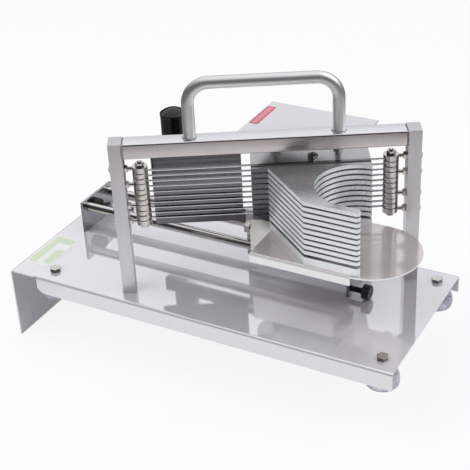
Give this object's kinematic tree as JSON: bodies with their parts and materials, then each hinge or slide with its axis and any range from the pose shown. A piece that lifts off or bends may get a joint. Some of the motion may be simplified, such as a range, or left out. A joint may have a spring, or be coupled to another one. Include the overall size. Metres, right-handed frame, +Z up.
{
  "type": "push tomato slicer",
  "caption": "Push slicer with a notched plate stack sliding on two rods past a diagonal frame of toothed ribbon blades, on a folded sheet base with soft feet and a counter lip.",
  "frame": {"origin": "under the middle of the base, level with the lower edge of the lip at its left end", "axes": "+X along the base towards the side the fruit is loaded from, which is against the push; +Y away from the viewer, to the rod side; +Z up"},
  "size_m": [0.43, 0.1823, 0.31],
  "materials": {
    "base_sheet": "polished folded stainless sheet",
    "clear_rubber": "soft clear bluish rubber",
    "plated_fasteners": "nickel plated",
    "satin_steel": "satin stainless",
    "polished_bar": "polished round bar",
    "black_rubber": "matt black rubber",
    "black_plastic": "satin black moulded plastic",
    "blade_steel": "mirror bright ribbon",
    "nylon": "cream engineering plastic",
    "aluminium_plate": "satin anodised plate",
    "deck_sheet": "satin stainless sheet",
    "dark_panel": "dark reflecting stainless sheet"
  },
  "bodies": {
    "base": {"base_plate": "base_sheet", "foot_cup_1": "clear_rubber", "foot_cup_2": "clear_rubber", "foot_cup_3": "clear_rubber", "foot_cup_4": "clear_rubber", "foot_bolts": "plated_fasteners", "left_end_plate": "satin_steel", "right_end_plate": "satin_steel", "front_guide_rod": "polished_bar", "rear_guide_rod": "polished_bar", "bumper_1": "black_rubber", "bumper_2": "black_rubber", "left_upright": "satin_steel", "right_upright": "satin_steel", "top_beam": "satin_steel", "carry_handle": "polished_bar", "left_tension_bolt": "plated_fasteners", "right_tension_bolt": "plated_fasteners", "left_spacers": "plated_fasteners", "right_spacers": "plated_fasteners", "tension_nuts": "plated_fasteners", "left_eye_bolts": "plated_fasteners", "right_eye_bolts": "plated_fasteners", "eye_nuts": "plated_fasteners", "blade_1": "blade_steel", "blade_2": "blade_steel", "blade_3": "blade_steel", "blade_4": "blade_steel", "blade_5": "blade_steel", "blade_6": "blade_steel", "blade_7": "blade_steel", "blade_8": "blade_steel", "blade_9": "blade_steel", "blade_10": "blade_steel"},
    "carriage": {"carriage_web": "satin_steel", "front_slider": "nylon", "rear_slider": "nylon", "slider_bolts": "plated_fasteners", "deck_tray": "deck_sheet", "pusher_base": "aluminium_plate", "pusher_plate_1": "aluminium_plate", "pusher_plate_2": "aluminium_plate", "pusher_plate_3": "aluminium_plate", "pusher_plate_4": "aluminium_plate", "pusher_plate_5": "aluminium_plate", "pusher_plate_6": "aluminium_plate", "pusher_plate_7": "aluminium_plate", "pusher_plate_8": "aluminium_plate", "pusher_plate_9": "aluminium_plate", "pusher_plate_10": "aluminium_plate", "plate_spacers": "plated_fasteners", "stack_studs": "plated_fasteners", "stack_nuts": "plated_fasteners", "top_guard": "deck_sheet", "finger_guard": "dark_panel", "panel_screws": "plated_fasteners", "handle_post": "satin_steel", "handle_grip": "black_plastic"},
    "thumbscrew": {"thumbscrew": "black_plastic"}
  },
  "joints": [
    {"name": "carriage_slide", "type": "slide", "parent": "base", "child": "carriage", "axis": [1, 0, 0], "range_m": [-0.1845, 0]},
    {"name": "thumbscrew_turn", "type": "hinge", "parent": "base", "child": "thumbscrew", "pos_m": [0.138, 0.0125, 0.0905], "axis": [1, 0, 0], "continuous": true}
  ]
}
